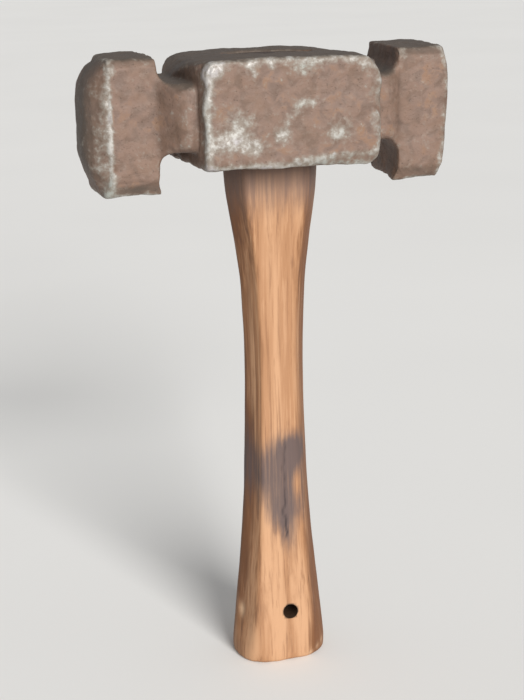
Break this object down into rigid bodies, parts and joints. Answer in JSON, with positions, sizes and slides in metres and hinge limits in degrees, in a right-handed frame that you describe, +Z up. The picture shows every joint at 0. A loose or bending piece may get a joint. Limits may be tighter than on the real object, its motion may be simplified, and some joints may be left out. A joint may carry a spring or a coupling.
{
  "type": "blacksmith hammer",
  "caption": "Smith's hand hammer: a forged head with a domed poll, a flat poll and a wide eye block on a waisted wooden handle with a hanging hole, wedged from above.",
  "frame": {"origin": "middle of the butt face, where the hammer stands upright", "axes": "+Z up the handle to the head, +X along the head to the flat poll, -Y out of the front cheek"},
  "size_m": [0.1449, 0.0724, 0.2533],
  "materials": {
    "forged_steel": "brown forge patina with bright worn edges and patches",
    "handle_wood": "worn bare wood with straight grain and a soot smudge",
    "wedge_wood": "dark end grain",
    "wedge_steel": "dull hammered steel"
  },
  "bodies": {
    "root": {"hammer_head": "forged_steel", "handle": "handle_wood", "wooden_wedge": "wedge_wood", "steel_wedge_left": "wedge_steel", "steel_wedge_right": "wedge_steel"}
  },
  "joints": []
}
